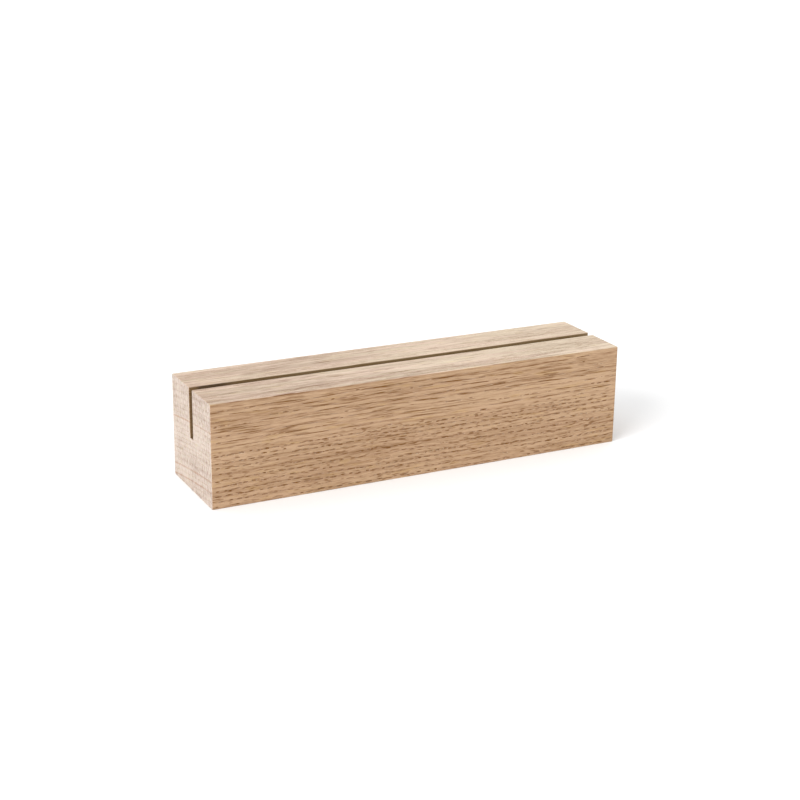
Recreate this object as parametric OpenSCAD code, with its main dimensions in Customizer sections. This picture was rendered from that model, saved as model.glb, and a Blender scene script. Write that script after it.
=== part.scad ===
// Photo block holder: one solid oak block, sawn along its top with a slot that grips a print by its lower edge.
// Millimetres. The origin is the middle of the underside, +X runs along the block, the front faces -Y, +Z is up.

/* [Block] */
// Length of the block, along the grain
block_length = 150; // [80:1:300]
// Depth of the block, from its front face to its back face
block_depth = 35; // [25:0.5:70]
// Height of the block above what it stands on
block_height = 35; // [25:0.5:70]
// Radius of the round that sanding leaves along every outer edge
edge_round = 0.4; // [0.2:0.1:3]

/* [Slot] */
// Width of the slot, one saw cut wide
slot_width = 3; // [1:0.1:8]
// Depth of the slot below the top face
slot_depth = 17; // [5:0.5:20]
// Width of the slope that sanding leaves on each lip of the slot
lip_slope = 0.2; // [0.1:0.1:1]

/* [Hidden] */
$fn = 48;

// The saw runs out past both ends and above the top by this much, so that no skin is left
saw_overrun = 5;
half_slot = slot_width / 2;
slot_floor_z = block_height - slot_depth;

// A rectangle centred on the origin, its four corners rounded with true arcs
module rounded_rectangle(across, up) {
    inner_across = across - 2 * edge_round;
    inner_up = up - 2 * edge_round;
    square([inner_across, up], center = true);
    square([across, inner_up], center = true);
    for (x = [-1, 1], y = [-1, 1])
        translate([x * inner_across / 2, y * inner_up / 2])
            circle(r = edge_round);
}

// The block before sawing, centred: what its front, end and top outlines have in common
module sanded_blank() {
    intersection() {
        rotate([90, 0, 0])
            linear_extrude(height = block_depth, center = true)
                rounded_rectangle(block_length, block_height);
        rotate([90, 0, 90])
            linear_extrude(height = block_length, center = true)
                rounded_rectangle(block_depth, block_height);
        linear_extrude(height = block_height, center = true)
            rounded_rectangle(block_length, block_depth);
    }
}

// What the saw and the sandpaper take out, seen from the end of the block
module slot_outline() {
    polygon([
        [-half_slot, slot_floor_z],
        [half_slot, slot_floor_z],
        [half_slot, block_height - lip_slope],
        [half_slot + lip_slope, block_height],
        [half_slot + lip_slope, block_height + saw_overrun],
        [-half_slot - lip_slope, block_height + saw_overrun],
        [-half_slot - lip_slope, block_height],
        [-half_slot, block_height - lip_slope]
    ]);
}

module slot() {
    rotate([90, 0, 90])
        linear_extrude(height = block_length + 2 * saw_overrun, center = true)
            slot_outline();
}

module oak_block() {
    color([0.84, 0.71, 0.58])
        difference() {
            translate([0, 0, block_height / 2])
                sanded_blank();
            slot();
        }
}

oak_block();
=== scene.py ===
"""The oak photo block, dressed: open pores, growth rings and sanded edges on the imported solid's own shape."""

import math
import random
from bisect import bisect_right

import bpy
from mathutils import Matrix, Vector, noise
from mathutils.geometry import delaunay_2d_cdt


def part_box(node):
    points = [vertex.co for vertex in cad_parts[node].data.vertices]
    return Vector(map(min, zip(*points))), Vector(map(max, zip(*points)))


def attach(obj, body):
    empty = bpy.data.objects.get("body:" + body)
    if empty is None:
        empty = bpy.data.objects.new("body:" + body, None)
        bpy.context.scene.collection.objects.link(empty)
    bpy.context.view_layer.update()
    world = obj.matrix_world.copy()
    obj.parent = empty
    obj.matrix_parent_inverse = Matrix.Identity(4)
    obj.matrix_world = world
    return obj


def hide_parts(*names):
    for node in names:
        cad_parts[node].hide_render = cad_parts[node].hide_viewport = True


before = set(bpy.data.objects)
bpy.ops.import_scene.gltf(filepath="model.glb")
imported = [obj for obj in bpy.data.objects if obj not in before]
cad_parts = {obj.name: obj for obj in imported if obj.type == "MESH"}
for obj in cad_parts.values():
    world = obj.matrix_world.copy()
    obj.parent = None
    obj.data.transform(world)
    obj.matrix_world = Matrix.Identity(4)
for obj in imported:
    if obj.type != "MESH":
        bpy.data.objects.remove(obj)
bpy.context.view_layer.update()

# Lengths below are in millimetres. The frame is in metres.
MM = 0.001
NODE = "oak_block"
BODY = "root"

# Sizes of the block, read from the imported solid
HAIR = 0.01
low, high = (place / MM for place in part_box(NODE))
LENGTH, DEPTH, HEIGHT = high - low
solid = [v.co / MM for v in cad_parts[NODE].data.vertices]
in_slot = [c for c in solid if abs(c.y) < DEPTH / 4]
SLOT_FLOOR = min(c.z for c in in_slot)
SLOT_HALF = min(abs(c.y) for c in in_slot)
MOUTH_HALF = max(abs(c.y) for c in in_slot)
LIP = MOUTH_HALF - SLOT_HALF
EDGE_ROUND = HEIGHT - max(c.z for c in solid if c.y < low.y + HAIR)

# How the faces are cut into triangles
ARC_STEPS = 4
LATTICE = 2.5
WIDE_FACE = 2.0

# The sanded round where a long face meets an end. It is a little smaller than the long edges' round,
# so that the outline never closes up at the corners, and the slot's thin edges get only a share of it.
END_ROUND = 0.85 * EDGE_ROUND
SLOT_SHARE = 0.35
END_STEPS = 3
FLAT_END = LENGTH / 2 - END_ROUND

# The tree: where its heart lay, seen from the block's end, and how its rings and fibres run
RING_TILT = math.radians(7.4)
HEART_RADIUS = 420.0
HEART_Y = -HEART_RADIUS * math.sin(RING_TILT)
HEART_Z = HEIGHT / 2 - HEART_RADIUS * math.cos(RING_TILT)
RING_WIDTH = 1.67
MIDDLE_YEAR = 30.93
FIBRE_RISE = 0.006
WAVE = 0.55
WAVE_LENGTH = 80.0
EARLY_WOOD = 0.3

# How often the search for a year's growth halves the line that it looks along
HALVINGS = 12

# Slow swings, each with its height, its length and its start: in the width of the years outward from the
# middle, and in the way of the fibres along the top and underside
YEAR_SWINGS = ((0.34, 4.1, 0.0), (0.2, 1.9, 1.0))
FIBRE_SWINGS = ((0.35, 23.0, 0.4), (0.12, 7.3, 2.0))

# A run of paler years across the middle: the ring numbers over which it begins and ends
PALE_FROM = (30.4, 31.2)
PALE_UNTIL = (34.4, 36.0)

# The flat grain pales slowly toward +X, by this share of its range of tones for each millimetre,
# and the pink in the wood gives way to cream
PALER_ALONG = 0.0014
CREAMIER_ALONG = 0.0012

# Years that start at a strong dark line
DARK_YEARS = (23, 25, 35)

# Open pores on every face: their distance from the edges and from each other, the distance between the points
# along one and how close behind a tip the first of them is, where the first pore of a row may start, and
# how many of the last pores are looked at for room
PORE_MARGIN = 0.35
PORE_GAP = 0.08
PORE_STEP = 2.0
SHOULDER = 0.13
FIRST_PORE = (0.4, 3.0)
RECENT = 200

# The outline of an open pore: its breadth toward the tips as a share of that at its middle, and how much
# each of its sides varies
TIP_SHARE = 0.5
SIDE_SHARES = (0.8, 1.0)

# Open pores on the front and back. Each year has rows of them, each row with its phase, plenty and breadth.
# From one year on they run so nearly along the face that most show as long slim lines, and one year has few.
PORE_ROWS = ((0.07, 0.9, 1.0), (0.36, 0.35, 0.65))
LONG_PORE_YEAR = 31.5
LONG_PORE_SHARE = 0.75
QUIET_YEAR = 31
QUIET_PLENTY = 0.2
SHORT_LENGTH = (1.3, 3.6)
LONG_LENGTH = (3.0, 16.0)
STEEP_WIDTH = (0.5, 0.78)
LONG_SLIMNESS = 0.75
STEEP_DEPTH = 0.22
STEEP_PAUSE = (0.3, 1.5)
STRAY = 0.12
LEAN = (-0.02, 0.05)
NARROW_RING = 1.2

# How much vigour widens the pores and adds to their plenty, how far along the grain it lasts, and how fast
# it changes from year to year
WIDER = 0.6
MORE = 0.8
VIGOUR_LENGTH = 16.0
VIGOUR_YEARS = 3.7

# Open pores on the top and underside: long fine lines, plentiful in early wood and rare in late wood. Since
# the fibres swing to and fro, a few spare rows start outside each edge of the face.
FLAT_ROW_PITCH = 0.42
FLAT_ROW_STRAY = 0.2
SPARE_ROWS = 2
FLAT_LENGTH = (1.2, 4.5)
FLAT_WIDTH = (0.15, 0.24)
FLAT_DEPTH = (0.06, 0.11)
FLAT_PAUSE = (0.3, 2.5)
EARLY_PLENTY = 0.75
LATE_PLENTY = 0.2

# Round mouths of the pores on the ends: rows of large ones where each year starts, each row with its phase,
# its pitch, its radius and its plenty, and small ones scattered between them in radial flames
PIT_ROWS = ((0.05, 0.52, 0.15, 0.95), (0.2, 0.62, 0.12, 0.7), (0.38, 0.8, 0.09, 0.4))
PIT_PAUSE = (0.75, 1.5)
PIT_STRAY = 0.07
PIT_SIZES = (0.75, 1.2)
SMALL_PITS = 3200
SMALL_RADIUS = (0.06, 0.09)
SMALL_PLENTY = 0.5
FLAME = (0.9, 3.0)
PIT_CELL = 0.5
PIT_SIDES = 5
PIT_DEPTH = 1.5
DARKEST_RADIUS = 0.14

rng = random.Random(11)


def swing(along, waves):
    """How far slow waves, each with its height, its length and its start, stray at this distance along."""
    return sum(height * math.sin(along / length + start) for height, length, start in waves)


def growth(x, y, z):
    """Distance outward from the middle of the block along the tree's radius, following its gentle waves."""
    out = math.hypot(y - HEART_Y, z - HEART_Z) - HEART_RADIUS
    wave = WAVE * noise.noise(Vector((x, y, z)) / WAVE_LENGTH)
    return out - FIBRE_RISE * x + wave


def ring_number(x, y, z):
    """The year of growth at a place, with its fraction running from early wood at 0 to late wood at 1."""
    out = growth(x, y, z)
    return MIDDLE_YEAR + out / RING_WIDTH + swing(out, YEAR_SWINGS)


def quarter_turn(y, z, first_degrees):
    """The sanded round of one long edge about the centre y, z."""
    turns = [math.radians(first_degrees + 90 * step / ARC_STEPS) for step in range(ARC_STEPS + 1)]
    return [(y + EDGE_ROUND * math.cos(turn), z + EDGE_ROUND * math.sin(turn)) for turn in turns]


def section_outline():
    """Corners of the cross-section, anticlockwise as seen from +X, from the foot of the front face."""
    side = DEPTH / 2 - EDGE_ROUND
    top = HEIGHT - EDGE_ROUND
    slot = [
        (MOUTH_HALF, HEIGHT),
        (SLOT_HALF, HEIGHT - LIP),
        (SLOT_HALF, SLOT_FLOOR),
        (-SLOT_HALF, SLOT_FLOOR),
        (-SLOT_HALF, HEIGHT - LIP),
        (-MOUTH_HALF, HEIGHT),
    ]
    return (
        quarter_turn(-side, EDGE_ROUND, 180)
        + quarter_turn(side, EDGE_ROUND, 270)
        + quarter_turn(side, top, 0)
        + slot
        + quarter_turn(-side, top, 90)
    )


def with_steps(loop):
    """The closed loop with its long sides divided, and its first corner again at the end."""
    divided = []
    for here, there in zip(loop, loop[1:] + loop[:1]):
        parts = max(1, math.ceil(math.dist(here, there) / LATTICE))
        for part in range(parts):
            share = part / parts
            divided.append(tuple(a + (b - a) * share for a, b in zip(here, there)))
    return divided + divided[:1]


def distances(loop):
    """How far each corner lies along the loop."""
    gone = [0.0]
    for here, there in zip(loop, loop[1:]):
        gone.append(gone[-1] + math.dist(here, there))
    return gone


corners = section_outline()
section = with_steps(corners)
around = distances(section)
corner_around = distances(corners + corners[:1])


def outward(here, there):
    """The unit vector out of the wood from one side of the section."""
    size = math.dist(here, there)
    return (there[1] - here[1]) / size, (here[0] - there[0]) / size


def on_section(s):
    """The place and the outward direction at a distance s around the section."""
    side = min(max(bisect_right(around, s) - 1, 0), len(section) - 2)
    here, there = section[side], section[side + 1]
    share = (s - around[side]) / (around[side + 1] - around[side])
    place = tuple(a + (b - a) * share for a, b in zip(here, there))
    return place, outward(here, there)


def ring_at(s, x):
    (y, z), _ = on_section(s)
    return ring_number(x, y, z)


def inset_directions():
    """For each corner of the section, the way it moves as an end is rounded over."""
    loop = section[:-1]
    ways = []
    for before, here, after in zip(loop[-1:] + loop[:-1], loop, loop[1:] + loop[:1]):
        a, b = outward(before, here), outward(here, after)
        spread = 1 + a[0] * b[0] + a[1] * b[1]
        share = SLOT_SHARE if abs(here[0]) < MOUTH_HALF + HAIR and here[1] > SLOT_FLOOR - HAIR else 1.0
        ways.append((-(a[0] + b[0]) * share / spread, -(a[1] + b[1]) * share / spread))
    return ways + ways[:1]


class Relief:
    """The block's mesh as it grows: welded corners with what the material reads there, and mapped faces."""

    def __init__(self):
        self.known = {}
        self.places = []
        self.marks = {"ring": [], "pore": [], "sawn": []}
        self.faces = []
        self.maps = []
        self.smooth = []

    def corner(self, place, facing, pore=0.0, sunk=0.0):
        """The number of the corner at this place, sunk into the wood against the way that it faces."""
        lowered = [p - f * sunk for p, f in zip(place, facing)]
        key = tuple(round(p, 4) for p in lowered)
        if key not in self.known:
            self.known[key] = len(self.places)
            self.places.append([p * MM for p in lowered])
            inside = abs(place[1]) < SLOT_HALF + HAIR and place[2] > SLOT_FLOOR - HAIR
            self.marks["ring"].append(ring_number(*place))
            self.marks["pore"].append(pore)
            # The slot's walls are marked for the saw's browning and for their painted shade.
            self.marks["sawn"].append(float(inside))
        return self.known[key]

    def face(self, numbers, mapped, smooth=False):
        if len(set(numbers)) == len(numbers):
            self.faces.append(numbers)
            self.maps.append(mapped)
            self.smooth.append(smooth)

    def patch(self, outline, only_inside, lift, unfold, turned=False):
        """Triangles over a flat outline, each lifted into place and unfolded onto the map."""
        placed, _, triangles, sources, _, _ = delaunay_2d_cdt(
            outline.points, outline.rims, [], int(only_inside), HAIR / 100
        )
        numbers = []
        for spot, source in zip(placed, sources):
            place, facing = lift(spot)
            pore, sunk = outline.sunken.get(source[0], (0.0, 0.0)) if source else (0.0, 0.0)
            numbers.append(self.corner(place, facing, pore, sunk))
        for triangle in triangles:
            order = list(reversed(triangle)) if turned else list(triangle)
            self.face([numbers[i] for i in order], [unfold(placed[i]) for i in order])

    def to_object(self, name):
        mesh = bpy.data.meshes.new(name)
        mesh.from_pydata(self.places, [], self.faces)
        mesh.polygons.foreach_set("use_smooth", self.smooth)
        for mark, values in self.marks.items():
            mesh.attributes.new(mark, "FLOAT", "POINT").data.foreach_set("value", values)
        layer = mesh.uv_layers.new(name="OFBake")
        layer.data.foreach_set("uv", [value for face in self.maps for spot in face for value in spot])
        made = bpy.data.objects.new(name, mesh)
        bpy.context.scene.collection.objects.link(made)
        return made


class Outline:
    """Flat points, the rims that join some of them, and which of them are sunk into the wood."""

    def __init__(self):
        self.points = []
        self.rims = []
        self.sunken = {}

    def line(self, spots):
        first = len(self.points)
        self.points += [Vector(spot) for spot in spots]
        self.rims += [(first + i, first + i + 1) for i in range(len(spots) - 1)]

    def loop(self, spots):
        first = len(self.points)
        self.points += [Vector(spot) for spot in spots]
        self.rims += [(first + i, first + (i + 1) % len(spots)) for i in range(len(spots))]

    def sink(self, spot, darkness, depth):
        self.sunken[len(self.points)] = (darkness, depth)
        self.points.append(Vector(spot))


# The map is one square sheet: the long faces unrolled, and the two ends beside them
END_ARC = END_ROUND * math.pi / 2
MAP_GAP = 1.5
SHEET = LENGTH + 2 * END_ARC + DEPTH + 3 * MAP_GAP


def long_map(s, x):
    """Where a place on the unrolled long faces, or on the rounds at their ends, lies on the sheet."""
    return (x + LENGTH / 2 + END_ARC + MAP_GAP) / SHEET, (s + MAP_GAP) / SHEET


def end_map(side, y, z):
    """Where a place on an end lies on the sheet."""
    row = 0 if side < 0 else HEIGHT + MAP_GAP
    return (y + DEPTH / 2 + LENGTH + 2 * END_ARC + 2 * MAP_GAP) / SHEET, (z + row + MAP_GAP) / SHEET


def year_line(year, ring_along, begin, end):
    """Where a line from begin to end meets a year's growth, or None, by the ring numbers along it."""
    first = ring_along(begin) - year
    if first * (ring_along(end) - year) > 0:
        return None
    for _ in range(HALVINGS):
        middle = (begin + end) / 2
        if (ring_along(middle) - year) * first > 0:
            begin = middle
        else:
            end = middle
    return (begin + end) / 2


def along_pore(x, length):
    """Places along a pore from x: its two tips, and points between them that start close behind each tip."""
    parts = max(2, round(length / PORE_STEP))
    shares = [SHOULDER + (1 - 2 * SHOULDER) * part / parts for part in range(parts + 1)]
    return [x + length * share for share in [0.0, *shares, 1.0]]


def add_groove(outline, course, width, depth):
    """One open pore along a course of points: a slim pointed outline with sunken points along its middle."""
    inner = range(1, len(course) - 1)
    begin, length = course[0][1], course[-1][1] - course[0][1]
    halves = {}
    for i in inner:
        belly = TIP_SHARE + (1 - TIP_SHARE) * math.sin(math.pi * (course[i][1] - begin) / length)
        halves[i] = width / 2 * belly * rng.uniform(*SIDE_SHARES)
    near_side = [(course[i][0] - halves[i], course[i][1]) for i in inner]
    far_side = [(course[i][0] + halves[i], course[i][1]) for i in reversed(inner)]
    outline.loop([course[0]] + near_side + [course[-1]] + far_side)
    for i in inner:
        outline.sink(course[i], 1.0, depth)


def vigour(year, x):
    """How much wider and denser than usual the pores of a year are at x: a share from about -0.6 to 0.6."""
    return noise.noise(Vector((x / VIGOUR_LENGTH, VIGOUR_YEARS * year, 0.5)))


def dress_steep_face(outline, begin, end):
    """Pores on the front or back, rows of them in the early wood of each year."""
    rings = [ring_at(s, x) for s in (begin, end) for x in (-FLAT_END, 0, FLAT_END)]
    taken = []
    for year in range(math.floor(min(rings)), math.ceil(max(rings))):
        for phase, plenty, breadth in PORE_ROWS:
            x = -FLAT_END + rng.uniform(*FIRST_PORE)
            while x < FLAT_END:
                is_long = year > LONG_PORE_YEAR and rng.random() < LONG_PORE_SHARE
                length = rng.uniform(*(LONG_LENGTH if is_long else SHORT_LENGTH))
                growing = vigour(year, x)
                width = rng.uniform(*STEEP_WIDTH) * breadth * (1 + WIDER * growing)
                width *= LONG_SLIMNESS if is_long else 1.0
                place = year + phase + rng.uniform(-STRAY, STRAY)
                chance = plenty * (1 + MORE * growing) * (QUIET_PLENTY if year == QUIET_YEAR else 1.0)
                if rng.random() < chance and stands_clear(taken, place, x, x + length, width):
                    add_ring_groove(outline, place, x, length, width, begin, end)
                    taken.append((place, x, x + length, width))
                pause = rng.uniform(*STEEP_PAUSE)
                x += length + (2 * pause if is_long else pause)


def stands_clear(taken, place, start, finish, width):
    """True if a pore here among the years, from start to finish along x, touches none already there."""
    return not any(
        start < other_finish + PORE_GAP
        and other_start < finish + PORE_GAP
        and abs(place - other) * NARROW_RING < (width + other_width) / 2 + PORE_GAP
        for other, other_start, other_finish, other_width in taken[-RECENT:]
    )


def add_ring_groove(outline, year, x, length, width, begin, end):
    """A pore that follows a year's growth from x, if all of it lies on this face."""
    lean = rng.uniform(*LEAN)
    course = []
    for along in along_pore(x, length):
        s = year_line(year, lambda s: ring_at(s, along), begin + PORE_MARGIN, end - PORE_MARGIN)
        if s is None or along > FLAT_END - PORE_MARGIN:
            return
        course.append((s + lean * (along - x - length / 2), along))
    add_groove(outline, course, width, STEEP_DEPTH * width)


def dress_flat_face(outline, begin, end):
    """Pores on the top or underside, where each year's early wood is a broad band of long fine lines."""
    inside = (begin + PORE_MARGIN, end - PORE_MARGIN)
    for row in range(math.ceil((end - begin) / FLAT_ROW_PITCH) + 2 * SPARE_ROWS):
        start = begin + (row - SPARE_ROWS + rng.uniform(-FLAT_ROW_STRAY, FLAT_ROW_STRAY)) * FLAT_ROW_PITCH
        x = -FLAT_END + rng.uniform(*FIRST_PORE)
        while x < FLAT_END:
            length = rng.uniform(*FLAT_LENGTH)
            middle = x + length / 2
            early = ring_at(min(max(start, begin), end), middle) % 1.0 < EARLY_WOOD
            course = [(start + swing(along, FIBRE_SWINGS), along) for along in along_pore(x, length)]
            fits = all(inside[0] < s < inside[1] for s, _ in course) and x + length < FLAT_END - PORE_MARGIN
            if fits and rng.random() < (EARLY_PLENTY if early else LATE_PLENTY):
                add_groove(outline, course, rng.uniform(*FLAT_WIDTH), rng.uniform(*FLAT_DEPTH))
            x += length + rng.uniform(*FLAT_PAUSE)


def long_faces(relief):
    """The four long faces and the slot, unrolled around the section, with their open pores."""
    outline = Outline()
    for x in (-FLAT_END, FLAT_END):
        outline.points += [Vector((s, x)) for s in around]
    steps = math.ceil(2 * FLAT_END / LATTICE)
    stations = [FLAT_END * (2 * step / steps - 1) for step in range(steps + 1)]
    for s in corner_around:
        outline.line([(s, x) for x in stations])
    for begin, end in zip(corner_around, corner_around[1:]):
        if end - begin > WIDE_FACE:
            dress_face(outline, begin, end, stations)
    relief.patch(outline, False, lift_long, lambda spot: long_map(*spot))


def lift_long(spot):
    (y, z), facing = on_section(spot[0])
    return (spot[1], y, z), (0.0, *facing)


def dress_face(outline, begin, end, stations):
    """One wide face: a loose lattice, and pores unless the face lies in the slot."""
    steps = math.ceil((end - begin) / LATTICE)
    for step in range(1, steps):
        s = begin + (end - begin) * step / steps
        outline.points += [Vector((s, x)) for x in stations[1:-1]]
    (y, _), (_, upward) = on_section((begin + end) / 2)
    if abs(y) < SLOT_HALF + HAIR:
        return
    if abs(upward) > 0.5:
        dress_flat_face(outline, begin, end)
    else:
        dress_steep_face(outline, begin, end)


def round_over(relief, side):
    """The sanded round between the long faces and one end, and the last loop of places around that end."""
    ways = inset_directions()
    loops = []
    for step in range(END_STEPS + 1):
        turn = math.pi / 2 * step / END_STEPS
        x = side * (FLAT_END + END_ROUND * math.sin(turn))
        inset = END_ROUND * (1 - math.cos(turn))
        loops.append([(x, y + a * inset, z + b * inset) for (y, z), (a, b) in zip(section, ways)])
    for step in range(END_STEPS):
        turns = [math.pi / 2 * (step + part) / END_STEPS for part in (0, 1)]
        for i in range(len(section) - 1):
            out = on_section((around[i] + around[i + 1]) / 2)[1]
            quad, mapped = [], []
            for loop_step, at in ((0, i), (0, i + 1), (1, i + 1), (1, i)):
                turn = turns[loop_step]
                facing = (math.sin(turn), math.cos(turn) * out[0], math.cos(turn) * out[1])
                quad.append(relief.corner(loops[step + loop_step][at], facing))
                mapped.append(long_map(around[at], side * (FLAT_END + END_ROUND * turn)))
            if side < 0:
                quad.reverse()
                mapped.reverse()
            relief.face(quad, mapped, smooth=True)
    return loops[-1][:-1]


def end_face(relief, side):
    """One end of the block, with the round mouths of its pores."""
    outline = Outline()
    outline.loop([(y, z) for _, y, z in round_over(relief, side)])
    pits = Pits(outline)
    x = side * LENGTH / 2
    rings = [ring_number(x, y, z) for y in (-DEPTH / 2, DEPTH / 2) for z in (0, HEIGHT)]
    for year in range(math.floor(min(rings)), math.ceil(max(rings))):
        for row in PIT_ROWS:
            pit_row(pits, x, year, *row)
    for _ in range(SMALL_PITS):
        y, z = rng.uniform(-DEPTH / 2, DEPTH / 2), rng.uniform(0, HEIGHT)
        flame = noise.noise(Vector((y / FLAME[0], z / FLAME[1], x)))
        if rng.random() < SMALL_PLENTY + flame:
            pits.add(y, z, rng.uniform(*SMALL_RADIUS))
    relief.patch(
        outline,
        True,
        lambda spot: ((side * LENGTH / 2, *spot), (side, 0.0, 0.0)),
        lambda spot: end_map(side, *spot),
        turned=side < 0,
    )


def on_end(y, z):
    """True if a pore's mouth fits here, clear of the edges and of the slot."""
    clear = EDGE_ROUND + PORE_MARGIN
    in_block = abs(y) < DEPTH / 2 - clear and clear < z < HEIGHT - clear
    return in_block and (abs(y) > MOUTH_HALF + clear or z < SLOT_FLOOR - clear)


def pit_row(pits, x, year, phase, pitch, radius, plenty):
    """The large pores of one year on an end, side by side along its growth."""
    y = -DEPTH / 2
    while y < DEPTH / 2:
        y += pitch * rng.uniform(*PIT_PAUSE)
        place = year + phase + rng.uniform(-PIT_STRAY, PIT_STRAY)
        z = year_line(place, lambda z: ring_number(x, y, z), 0, HEIGHT)
        if z is not None and rng.random() < plenty:
            pits.add(y, z, radius * rng.uniform(*PIT_SIZES))


class Pits:
    """The mouths of the pores on one end, none of which touches another."""

    def __init__(self, outline):
        self.outline = outline
        self.cells = {}

    def add(self, y, z, radius):
        """One small uneven ring about a sunken point, if there is room for it."""
        column, row = math.floor(y / PIT_CELL), math.floor(z / PIT_CELL)
        around_it = [(column + i, row + j) for i in (-1, 0, 1) for j in (-1, 0, 1)]
        near = [pit for cell in around_it for pit in self.cells.get(cell, [])]
        if not on_end(y, z) or any(math.dist((y, z), at) < radius + other + PORE_GAP for at, other in near):
            return
        self.cells.setdefault((column, row), []).append(((y, z), radius))
        turns = [(i + rng.random()) * 2 * math.pi / PIT_SIDES for i in range(PIT_SIDES)]
        self.outline.loop([(y + radius * math.cos(turn), z + radius * math.sin(turn)) for turn in turns])
        self.outline.sink((y, z), min(1.0, radius / DARKEST_RADIUS), PIT_DEPTH * radius)


def build_block():
    relief = Relief()
    long_faces(relief)
    for side in (-1, 1):
        end_face(relief, side)
    return relief.to_object("oak_block_dressed")


def srgb(colour):
    """A colour given as on a screen, 0 to 255, in the linear values that a shader takes."""
    shares = (value / 255 for value in colour)
    return [s / 12.92 if s <= 0.04045 else ((s + 0.055) / 1.055) ** 2.4 for s in shares] + [1.0]


class Recipe:
    """A material's nodes, built one step at a time. Each step gives the socket that holds its result."""

    def __init__(self, name):
        self.material = bpy.data.materials.new(name)
        self.material.use_nodes = True
        self.tree = self.material.node_tree
        self.shader = self.tree.nodes["Principled BSDF"]

    def feed(self, socket, value):
        if isinstance(value, bpy.types.NodeSocket):
            self.tree.links.new(value, socket)
        else:
            socket.default_value = value

    def math(self, operation, *values, clamp=False):
        node = self.tree.nodes.new("ShaderNodeMath")
        node.operation = operation
        node.use_clamp = clamp
        for socket, value in zip(node.inputs, values):
            self.feed(socket, value)
        return node.outputs[0]

    def vector(self, operation, *values):
        node = self.tree.nodes.new("ShaderNodeVectorMath")
        node.operation = operation
        for socket, value in zip(node.inputs, values):
            self.feed(socket, value)
        return node.outputs[0]

    def join(self, x, y, z):
        node = self.tree.nodes.new("ShaderNodeCombineXYZ")
        for socket, value in zip(node.inputs, (x, y, z)):
            self.feed(socket, value)
        return node.outputs[0]

    def split(self, vector):
        node = self.tree.nodes.new("ShaderNodeSeparateXYZ")
        self.feed(node.inputs[0], vector)
        return list(node.outputs)

    def grain(self, place, size, detail=2.0, roughness=0.5, shift=0.0):
        """Smooth noise between 0 and 1 whose blobs have this size along x, y and z."""
        node = self.tree.nodes.new("ShaderNodeTexNoise")
        stretched = self.vector("DIVIDE", place, size)
        self.feed(node.inputs["Vector"], self.vector("ADD", stretched, (shift, shift, shift)))
        node.inputs["Scale"].default_value = 1.0
        node.inputs["Detail"].default_value = detail
        node.inputs["Roughness"].default_value = roughness
        return node.outputs["Fac"]

    def step(self, value, start, end, low=0.0, high=1.0):
        """A smooth step from low at start to high at end."""
        node = self.tree.nodes.new("ShaderNodeMapRange")
        node.interpolation_type = "SMOOTHSTEP"
        for socket, setting in zip(node.inputs, (value, start, end, low, high)):
            self.feed(socket, setting)
        return node.outputs[0]

    def mix(self, share, first, second, blend="MIX"):
        node = self.tree.nodes.new("ShaderNodeMix")
        node.data_type = "RGBA"
        node.blend_type = blend
        for socket, value in ((0, share), (6, first), (7, second)):
            self.feed(node.inputs[socket], value)
        return node.outputs[2]

    def mark(self, name):
        node = self.tree.nodes.new("ShaderNodeAttribute")
        node.attribute_name = name
        return node.outputs["Fac"]

    def add_up(self, start, *terms):
        """The start value plus each term's strength times how far the term is above its own middle."""
        total = start
        for strength, value, middle in terms:
            centred = self.math("SUBTRACT", value, middle)
            total = self.math("MULTIPLY_ADD", centred, strength, total)
        return total


# Colours of the wood, as on a screen: the dark and the pale tone of each kind of face, the +X end painted a
# little browner and warmer as painted light, since it lies in the lamp's shade, then the stain of the darkest
# years, the dust in the pores, and the slot's walls, browned by the saw and painted darker as shade in the
# recess, and darker still near the -X end
STEEP_TONES = ((104, 65, 21), (178, 147, 117))
FLAT_TONES = ((116, 83, 59), (208, 190, 170))
NEAR_END_TONES = ((106, 82, 69), (177, 166, 155))
SHADED_END_WARMED_TONES = ((120, 82, 57), (192, 166, 144))
RING_STAIN = (150, 104, 74)
STEEP_DUST = (112, 72, 18)
FLAT_DUST = (120, 86, 60)
END_DUST = (140, 108, 88)
SAWN_AND_SHADED = (112, 92, 58)
SLOT_DARKER = (98, 75, 41)
SLOT_DARKEST = (42, 28, 6)

# Where along the slot, in millimetres from the -X end, the darker and the darkest brown come in and fade out
DARKER_FADES = (7.5, 45.0)
DARKEST_BEGINS = (2.0, 4.0)
DARKEST_FADES = (9.0, 17.0)
SAWN_AND_SHADED_SHARE = 0.78

# Tints that the wood's colour is multiplied by
PLAIN_TINT = (1.0, 1.0, 1.0, 1.0)
PINK_TINT = (1.035, 0.985, 0.99, 1.0)
CREAM_TINT = (0.992, 1.002, 0.96, 1.0)
YELLOW_TINT = (1.01, 0.995, 0.86, 1.0)

# How far a face turns away from the upright front before it counts as flat grain or end grain
TURNED = (0.35, 0.8)

# How far the fibres sway, in millimetres, and how strong the stripes of tint still are on the front and back
SWAY = 2.4
FRONT_STRIPES = 0.2

# The surface of bare wood: how rough it is, how much it shines, and how high and how strong its relief is
ROUGHNESS = 0.58
SHINE = 0.25
FIBRE_RELIEF = 0.03
RELIEF_STRENGTH = 0.5


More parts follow.
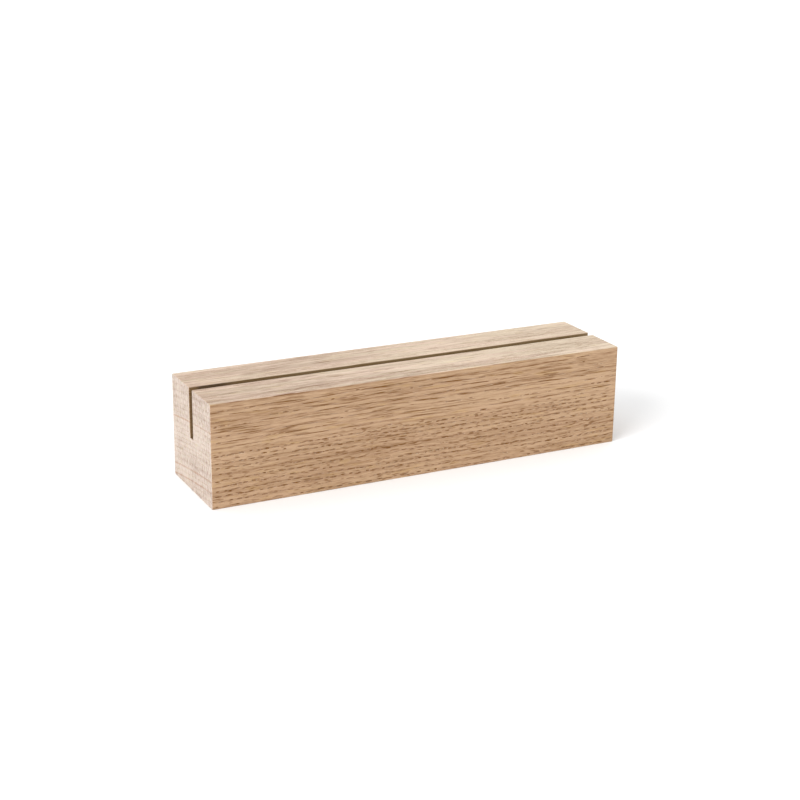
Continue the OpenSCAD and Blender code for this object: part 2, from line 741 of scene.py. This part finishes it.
class Oak(Recipe):
    """Oak in the tree's own directions: what the wood is like at a place, and the colours that this gives."""

    def __init__(self):
        super().__init__("oak_wood")
        coordinates = self.tree.nodes.new("ShaderNodeTexCoord")
        self.place = self.vector("SCALE", coordinates.outputs["Object"])
        self.place.node.inputs["Scale"].default_value = 1 / MM
        self.x, self.y, self.z = self.split(self.place)
        facing_x, _, facing_z = self.split(self.vector("ABSOLUTE", coordinates.outputs["Normal"]))
        self.on_end_grain = self.step(facing_x, *TURNED)
        self.on_flat_grain = self.step(facing_z, *TURNED)
        self.ring = self.mark("ring")
        self.pore = self.mark("pore")
        self.read_fibres()
        self.read_small_pores()
        self.read_rings()
        self.read_rays()

    def read_fibres(self):
        """Fine lines, wider streaks and slow changes of tone along the grain."""
        sway = self.math("MULTIPLY", self.grain(self.place, (38.0, 20.0, 20.0), detail=1.0), SWAY)
        self.swayed = self.vector("ADD", self.place, self.join(0.0, sway, sway))
        self.fibre = self.grain(self.swayed, (3.6, 0.26, 0.26), roughness=0.6)
        self.line = self.grain(self.swayed, (16.0, 0.5, 0.5), detail=1.0, shift=31.0)
        self.cloud = self.grain(self.place, (60.0, 13.0, 13.0), shift=83.0)

    def read_small_pores(self):
        """Pores between the open ones: flecks where they cross the front, streaks where they follow it."""
        fleck = self.step(self.grain(self.swayed, (2.6, 0.44, 0.44), detail=0.0, shift=17.0), 0.4, 0.26)
        self.streak = self.step(self.grain(self.swayed, (10.0, 0.4, 0.4), detail=0.0, shift=43.0), 0.4, 0.26)
        follows = self.step(self.ring, LONG_PORE_YEAR - 1.0, LONG_PORE_YEAR + 1.0)
        self.vein = self.math("MULTIPLY_ADD", follows, self.math("SUBTRACT", self.streak, fleck), fleck)

    def read_rings(self):
        """Dark late wood that stops sharply where the next year starts, and browner early wood after it."""
        phase = self.math("FRACT", self.ring)
        self.late = self.step(phase, 0.62, 1.0)
        self.early = self.step(phase, 0.0, 0.42, 1.0, 0.0)
        unrolled = self.join(self.math("MULTIPLY", self.x, 0.01), self.ring, 0.0)
        self.years = self.grain(unrolled, (1.0, 1.1, 1.0), detail=1.0, shift=57.0)
        still_pale = self.step(self.ring, *PALE_UNTIL, 1.0, 0.0)
        self.pale = self.math("MULTIPLY", self.step(self.ring, *PALE_FROM), still_pale)
        nearest = self.math("ROUND", self.ring)
        apart = self.math("ABSOLUTE", self.math("SUBTRACT", self.ring, nearest))
        is_dark = 0.0
        for year in DARK_YEARS:
            is_dark = self.math("ADD", is_dark, self.math("COMPARE", nearest, float(year), 0.5))
        self.dark_line = self.math("MULTIPLY", self.step(apart, 0.0, 0.26, 1.0, 0.0), is_dark)

    def read_rays(self):
        """Thin sheets that run out from the heart."""
        across = self.math("MULTIPLY_ADD", self.z, -math.tan(RING_TILT), self.y)
        self.ray_place = self.join(self.x, across, self.z)
        thin = self.grain(self.ray_place, (2.2, 0.24, 9.0), detail=0.0, shift=11.0)
        broad = self.grain(self.ray_place, (4.0, 0.6, 30.0), detail=0.0, shift=91.0)
        self.ray = self.step(thin, 0.54, 0.68)
        self.broad_ray = self.step(broad, 0.62, 0.7)

    def between(self, tone, dark, pale):
        return self.mix(tone, srgb(dark), srgb(pale))

    def steep_colour(self):
        """The colour of the front and back."""
        tone = self.add_up(
            0.74,
            (1.15, self.fibre, 0.5),
            (0.6, self.line, 0.5),
            (0.4, self.cloud, 0.5),
            (-0.46, self.vein, 0.12),
            (0.6, self.years, 0.5),
            (0.1, self.pale, 0.3),
            (-0.16, self.late, 0.19),
            (-0.22, self.early, 0.21),
        )
        return self.between(tone, *STEEP_TONES)

    def flat_colour(self):
        """The colour of the top and underside."""
        tone = self.add_up(
            0.74,
            (0.78, self.fibre, 0.5),
            (0.6, self.line, 0.5),
            (0.55, self.grain(self.swayed, (50.0, 0.9, 0.9), detail=1.0, shift=131.0), 0.5),
            (0.6, self.grain(self.swayed, (80.0, 2.2, 2.2), detail=1.0, shift=151.0), 0.5),
            (0.4, self.cloud, 0.5),
            (-0.42, self.streak, 0.12),
            (0.15, self.years, 0.5),
            (-0.1, self.early, 0.21),
            (PALER_ALONG, self.x, 0.0),
        )
        return self.between(tone, *FLAT_TONES)

    def end_colour(self):
        """The colour of the ends, the +X end, which lies in the lamp's shade, painted warmer as painted light.
        """
        tone = self.add_up(
            0.76,
            (0.8, self.grain(self.ray_place, (1.5, 0.3, 0.8), detail=1.0, roughness=0.6, shift=5.0), 0.5),
            (0.9, self.grain(self.ray_place, (1.5, 0.8, 1.4), detail=0.0, shift=7.0), 0.5),
            (0.6, self.cloud, 0.5),
            (0.35, self.years, 0.5),
            (0.12, self.pale, 0.3),
            (0.3, self.ray, 0.1),
            (0.3, self.broad_ray, 0.05),
            (-0.1, self.late, 0.19),
            (-0.15, self.dark_line, 0.05),
        )
        near = self.between(tone, *NEAR_END_TONES)
        # Painted light: the +X end lies in the lamp's shade, so its tones are painted browner and warmer.
        warmed_shaded_end = self.between(tone, *SHADED_END_WARMED_TONES)
        return self.mix(self.step(self.x, -LENGTH / 2, LENGTH / 2), near, warmed_shaded_end)

    def stained(self, wood):
        """The darkest years stain the ends, here and there more."""
        spread = self.grain(self.place, (4.0, 5.0, 5.0), detail=1.0, shift=121.0)
        fading = self.step(spread, 0.35, 0.6, 0.16, 0.38)
        stain = self.math("MULTIPLY", self.math("MULTIPLY", self.dark_line, fading), self.on_end_grain)
        return self.mix(stain, wood, srgb(RING_STAIN))

    def tinted(self, wood):
        """Pinker and creamier stripes, weakest on the front and back, and small yellower patches."""
        blush = self.grain(self.swayed, (36.0, 1.7, 1.1), detail=1.0, shift=61.0)
        blush = self.step(self.math("MULTIPLY_ADD", self.x, CREAMIER_ALONG, blush), 0.36, 0.64)
        off_front = self.math("MAXIMUM", self.on_flat_grain, self.on_end_grain)
        striped = self.math("MULTIPLY_ADD", off_front, 1 - FRONT_STRIPES, FRONT_STRIPES)
        stripes = self.mix(striped, PLAIN_TINT, self.mix(blush, PINK_TINT, CREAM_TINT))
        patch = self.step(self.grain(self.place, (9.0, 1.2, 1.2), shift=101.0), 0.56, 0.74)
        return self.mix(1.0, wood, self.mix(patch, stripes, YELLOW_TINT), "MULTIPLY")

    def dusty(self, wood):
        """Dark dust lies in the pores."""
        dust = self.mix(self.on_flat_grain, srgb(STEEP_DUST), srgb(FLAT_DUST))
        dust = self.mix(self.on_end_grain, dust, srgb(END_DUST))
        spread = self.grain(self.place, (3.0, 2.0, 2.0), detail=0.0, shift=71.0)
        plenty = self.step(spread, 0.3, 0.7, 0.55, 1.0)
        return self.mix(self.math("MULTIPLY", self.step(self.pore, 0.0, 0.7), plenty), wood, dust)

    def sawn(self, wood):
        """The slot's walls are browned all along, partly by the saw and partly as painted shade, darker near
        the -X end.
        """
        gone = self.math("ADD", self.x, LENGTH / 2)
        darkest_near_end = self.math("MULTIPLY", self.step(gone, *DARKEST_BEGINS), self.step(gone, *DARKEST_FADES, 1.0, 0.0))
        brown = self.mix(self.step(gone, *DARKER_FADES, 1.0, 0.0), srgb(SAWN_AND_SHADED), srgb(SLOT_DARKER))
        brown = self.mix(darkest_near_end, brown, srgb(SLOT_DARKEST))
        # Painted shade: the slot's walls are mixed toward a darker brown, partly for the saw's browning and
        # partly as shade in the recess.
        return self.mix(self.math("MULTIPLY", self.mark("sawn"), SAWN_AND_SHADED_SHARE), wood, brown)

    def surface(self, wood):
        """The colour on the shader, with the dull gloss of bare wood and the fine relief of its fibres."""
        self.feed(self.shader.inputs["Base Color"], wood)
        roughness = self.add_up(ROUGHNESS, (0.3, self.fibre, 0.5), (0.2, self.pore, 0.0))
        self.feed(self.shader.inputs["Roughness"], roughness)
        self.shader.inputs["Specular IOR Level"].default_value = SHINE
        bump = self.tree.nodes.new("ShaderNodeBump")
        bump.inputs["Strength"].default_value = RELIEF_STRENGTH
        bump.inputs["Distance"].default_value = FIBRE_RELIEF * MM
        self.feed(bump.inputs["Height"], self.fibre)
        self.feed(self.shader.inputs["Normal"], bump.outputs["Normal"])


def oak():
    """Oak with fibres, rings, rays and pores, paler on the flat grain and the ends, browned and painted with
    shade in the slot.
    """
    recipe = Oak()
    wood = recipe.mix(recipe.on_flat_grain, recipe.steep_colour(), recipe.flat_colour())
    wood = recipe.mix(recipe.on_end_grain, wood, recipe.end_colour())
    for layer in (recipe.stained, recipe.tinted, recipe.dusty, recipe.sawn):
        wood = layer(wood)
    recipe.surface(wood)
    return recipe.material


# The white room: which way its lamp stands from the block, how strong and how many degrees wide the lamp is,
# how strong the even light is, and the floor
LAMP_TOWARD = (-0.79, -0.3, 0.335)
LAMP_STRENGTH = 3.05
LAMP_WIDTH = 44
ROOM_LIGHT = 1.02
FLOOR_HALF = 5000.0
FLOOR_PAINT = (0.886, 0.89, 0.893, 1)
FLOOR_ROUGHNESS = 0.9


def lamp(name, toward, strength, degrees):
    """A broad soft lamp far away in the direction given, seen from the block."""
    data = bpy.data.lights.new(name, "SUN")
    data.energy = strength
    data.angle = math.radians(degrees)
    sun = bpy.data.objects.new(name, data)
    sun.rotation_mode = "QUATERNION"
    sun.rotation_quaternion = Vector(toward).to_track_quat("Z", "Y")
    bpy.context.scene.collection.objects.link(sun)


def pale_floor():
    """A flat floor that reaches far past the picture."""
    mesh = bpy.data.meshes.new("floor")
    reach = FLOOR_HALF * MM
    ways = ((-1, -1), (1, -1), (1, 1), (-1, 1))
    mesh.from_pydata([(a * reach, b * reach, 0) for a, b in ways], [], [(0, 1, 2, 3)])
    floor = bpy.data.objects.new("floor", mesh)
    bpy.context.scene.collection.objects.link(floor)
    paint = Recipe("pale_floor")
    paint.shader.inputs["Base Color"].default_value = FLOOR_PAINT
    paint.shader.inputs["Roughness"].default_value = FLOOR_ROUGHNESS
    paint.shader.inputs["Specular IOR Level"].default_value = 0.0
    mesh.materials.append(paint.material)


def studio():
    """A white room: even light from all round, a broad lamp from the left, and a pale floor."""
    world = bpy.data.worlds.new("white_room")
    world.use_nodes = True
    sky = world.node_tree.nodes["Background"]
    sky.inputs["Color"].default_value = (1, 1, 1, 1)
    sky.inputs["Strength"].default_value = ROOM_LIGHT
    bpy.context.scene.world = world
    lamp("window", LAMP_TOWARD, LAMP_STRENGTH, LAMP_WIDTH)
    pale_floor()
    bpy.context.scene.view_settings.view_transform = "Standard"


# The camera, as fitted to the photograph's corners: its direction, its distance and its lens
AZIMUTH = math.radians(-26.9)
ELEVATION = math.radians(18.7)
ROLL = math.radians(0.74)
DISTANCE = 561.0
AIM_RIGHT = -0.4
AIM_UP = 3.0
SENSOR = 36.0
PICTURE = 800
FOCAL_PIXELS = 1654


def look_from_photograph():
    """The camera at the photograph's viewing angle."""
    back = Vector((
        math.sin(AZIMUTH) * math.cos(ELEVATION),
        -math.cos(AZIMUTH) * math.cos(ELEVATION),
        math.sin(ELEVATION),
    ))
    level = Vector((0, 0, 1)).cross(back).normalized()
    raised = back.cross(level)
    right = level * math.cos(ROLL) + raised * math.sin(ROLL)
    up = raised * math.cos(ROLL) - level * math.sin(ROLL)
    data = bpy.data.cameras.new("photograph")
    data.sensor_width = SENSOR
    data.lens = FOCAL_PIXELS * SENSOR / PICTURE
    camera = bpy.data.objects.new("photograph", data)
    middle = Vector((0, 0, HEIGHT / 2))
    place = middle + back * DISTANCE + right * AIM_RIGHT + up * AIM_UP
    turn = Matrix((right, up, back)).transposed().to_4x4()
    camera.matrix_world = Matrix.Translation(place * MM) @ turn
    bpy.context.scene.collection.objects.link(camera)
    bpy.context.scene.camera = camera


block = build_block()
block.data.materials.append(oak())
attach(block, BODY)
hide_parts(NODE)
studio()
look_from_photograph()
